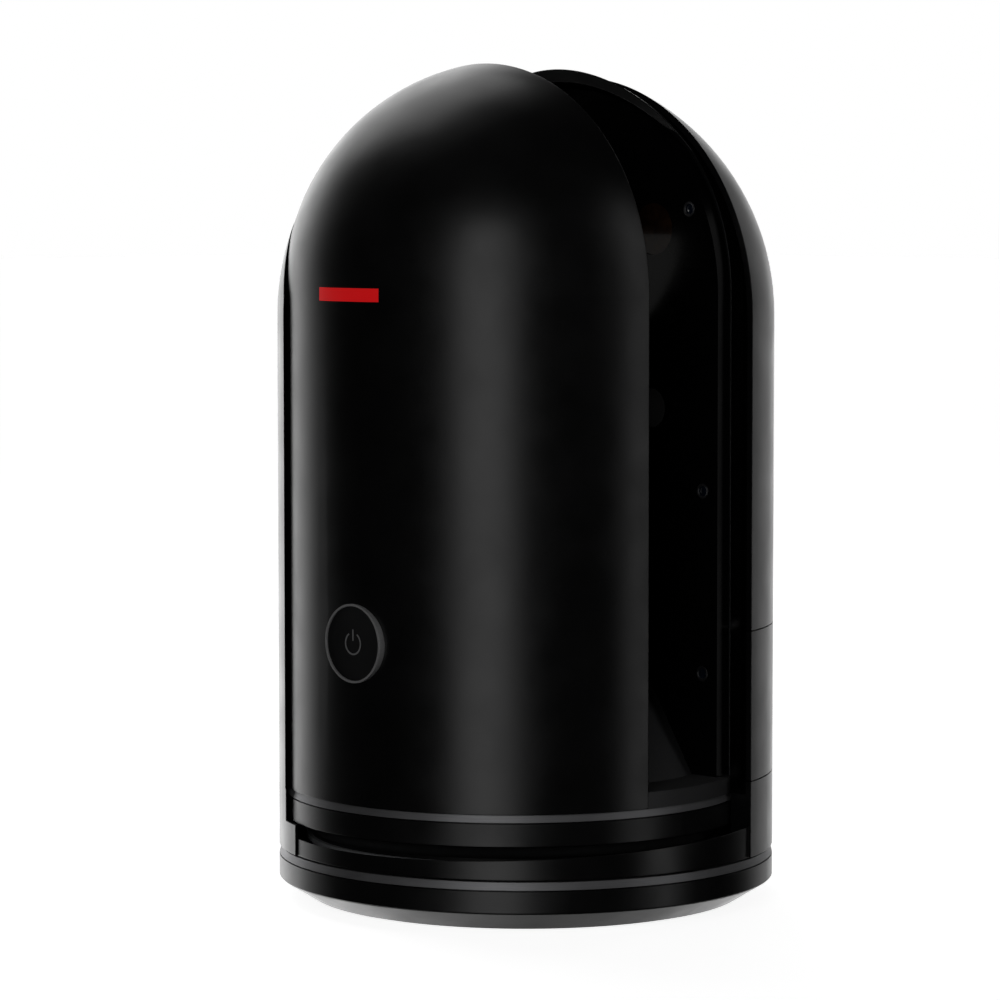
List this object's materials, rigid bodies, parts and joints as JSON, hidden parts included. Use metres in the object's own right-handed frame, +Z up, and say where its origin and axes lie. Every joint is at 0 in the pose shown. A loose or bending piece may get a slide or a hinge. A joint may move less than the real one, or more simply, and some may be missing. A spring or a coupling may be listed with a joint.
{
  "type": "terrestrial laser scanner",
  "caption": "Capsule-shaped laser scanner with a slotted rotating head, spinning mirror, power button and battery door on a round tripod base.",
  "frame": {"origin": "centre of the underside of the rubber tread, on the head axis", "axes": "+Z up the head axis, -Y out of the half with the power button, X along the measuring slot"},
  "size_m": [0.1, 0.1, 0.1674],
  "materials": {
    "shell_coat": "matte black anodised, fine grain",
    "ring_coat": "satin black anodised",
    "bright_band": "turned, satin bright",
    "gloss_panel": "polished black",
    "floor_coat": "fine matte",
    "lens_glass": "polished, coated",
    "thermal_glass": "polished, coated",
    "mirror_face": "protected silver",
    "drum_metal": "satin black anodised",
    "steel": "ground",
    "screw_steel": "blackened",
    "plate_metal": "anodised dark grey",
    "brass": "turned",
    "tread_rubber": "matte",
    "motor_iron": "lacquered laminations",
    "code_disc": "etched scale",
    "board_green": "solder mask",
    "module_black": "moulded",
    "battery_case": "moulded",
    "tray_plastic": "moulded",
    "button_face": "fine matte",
    "button_ring": "satin grey anodised",
    "light_guide": "frosted, unlit"
  },
  "bodies": {
    "base": {"base_ring": "ring_coat", "base_band": "bright_band", "base_plate": "plate_metal", "base_screws": "screw_steel", "base_tread": "tread_rubber", "tripod_bush": "brass", "azimuth_inner_race": "steel", "azimuth_stator": "motor_iron", "azimuth_encoder_reader": "module_black"},
    "head": {"azimuth_encoder_disc": "code_disc", "azimuth_magnets": "motor_iron", "azimuth_outer_race": "steel", "azimuth_rollers": "steel", "battery_hinge_pin": "steel", "battery_pack": "battery_case", "battery_tray": "tray_plastic", "button_bezel": "button_ring", "button_board": "board_green", "camera_high_module": "module_black", "camera_lens_high": "lens_glass", "camera_lens_low": "lens_glass", "camera_lens_mid": "lens_glass", "camera_low_module": "module_black", "camera_mid_module": "module_black", "chassis": "floor_coat", "distance_module": "drum_metal", "flash_module": "module_black", "front_shell": "shell_coat", "front_skirt": "shell_coat", "laser_lens": "lens_glass", "main_board": "board_green", "mirror_bearing_front": "steel", "mirror_bearing_rear": "steel", "mirror_encoder_reader": "module_black", "mirror_motor_can": "drum_metal", "mirror_stator": "motor_iron", "power_board": "board_green", "rear_capsule": "shell_coat", "rear_shell": "shell_coat", "sensor_board": "board_green", "side_shroud": "shell_coat", "slot_floor": "floor_coat", "slot_hump": "floor_coat", "slot_wall": "gloss_panel", "status_light_ring": "light_guide", "thermal_lens": "thermal_glass", "thermal_module": "module_black", "turntable": "ring_coat", "turntable_screws": "screw_steel", "upper_band": "bright_band", "upper_ring": "ring_coat", "window": "gloss_panel"},
    "mirror": {"mirror_drum": "drum_metal", "mirror_glass": "mirror_face", "mirror_shaft": "steel", "mirror_rotor": "motor_iron", "mirror_encoder_disc": "code_disc"},
    "power_button": {"power_button": "button_face", "button_spring": "steel"},
    "battery_door": {"battery_door": "shell_coat"}
  },
  "joints": [
    {"name": "head_azimuth", "type": "hinge", "parent": "base", "child": "head", "pos_m": [0, 0, 0.0078], "axis": [0, 0, 1], "continuous": true},
    {"name": "mirror_spin", "type": "hinge", "parent": "head", "child": "mirror", "pos_m": [0, 0, 0.12], "axis": [0, 1, 0], "continuous": true},
    {"name": "button_press", "type": "slide", "parent": "head", "child": "power_button", "axis": [0, 1, 0], "range_m": [0, 0.0008], "stiffness_N_per_m": 600, "springref_m": -0.0015},
    {"name": "battery_door_swing", "type": "hinge", "parent": "head", "child": "battery_door", "pos_m": [-0.02575, 0.04122, 0.04075], "axis": [0, 0, 1], "range_deg": [0, 100]}
  ]
}
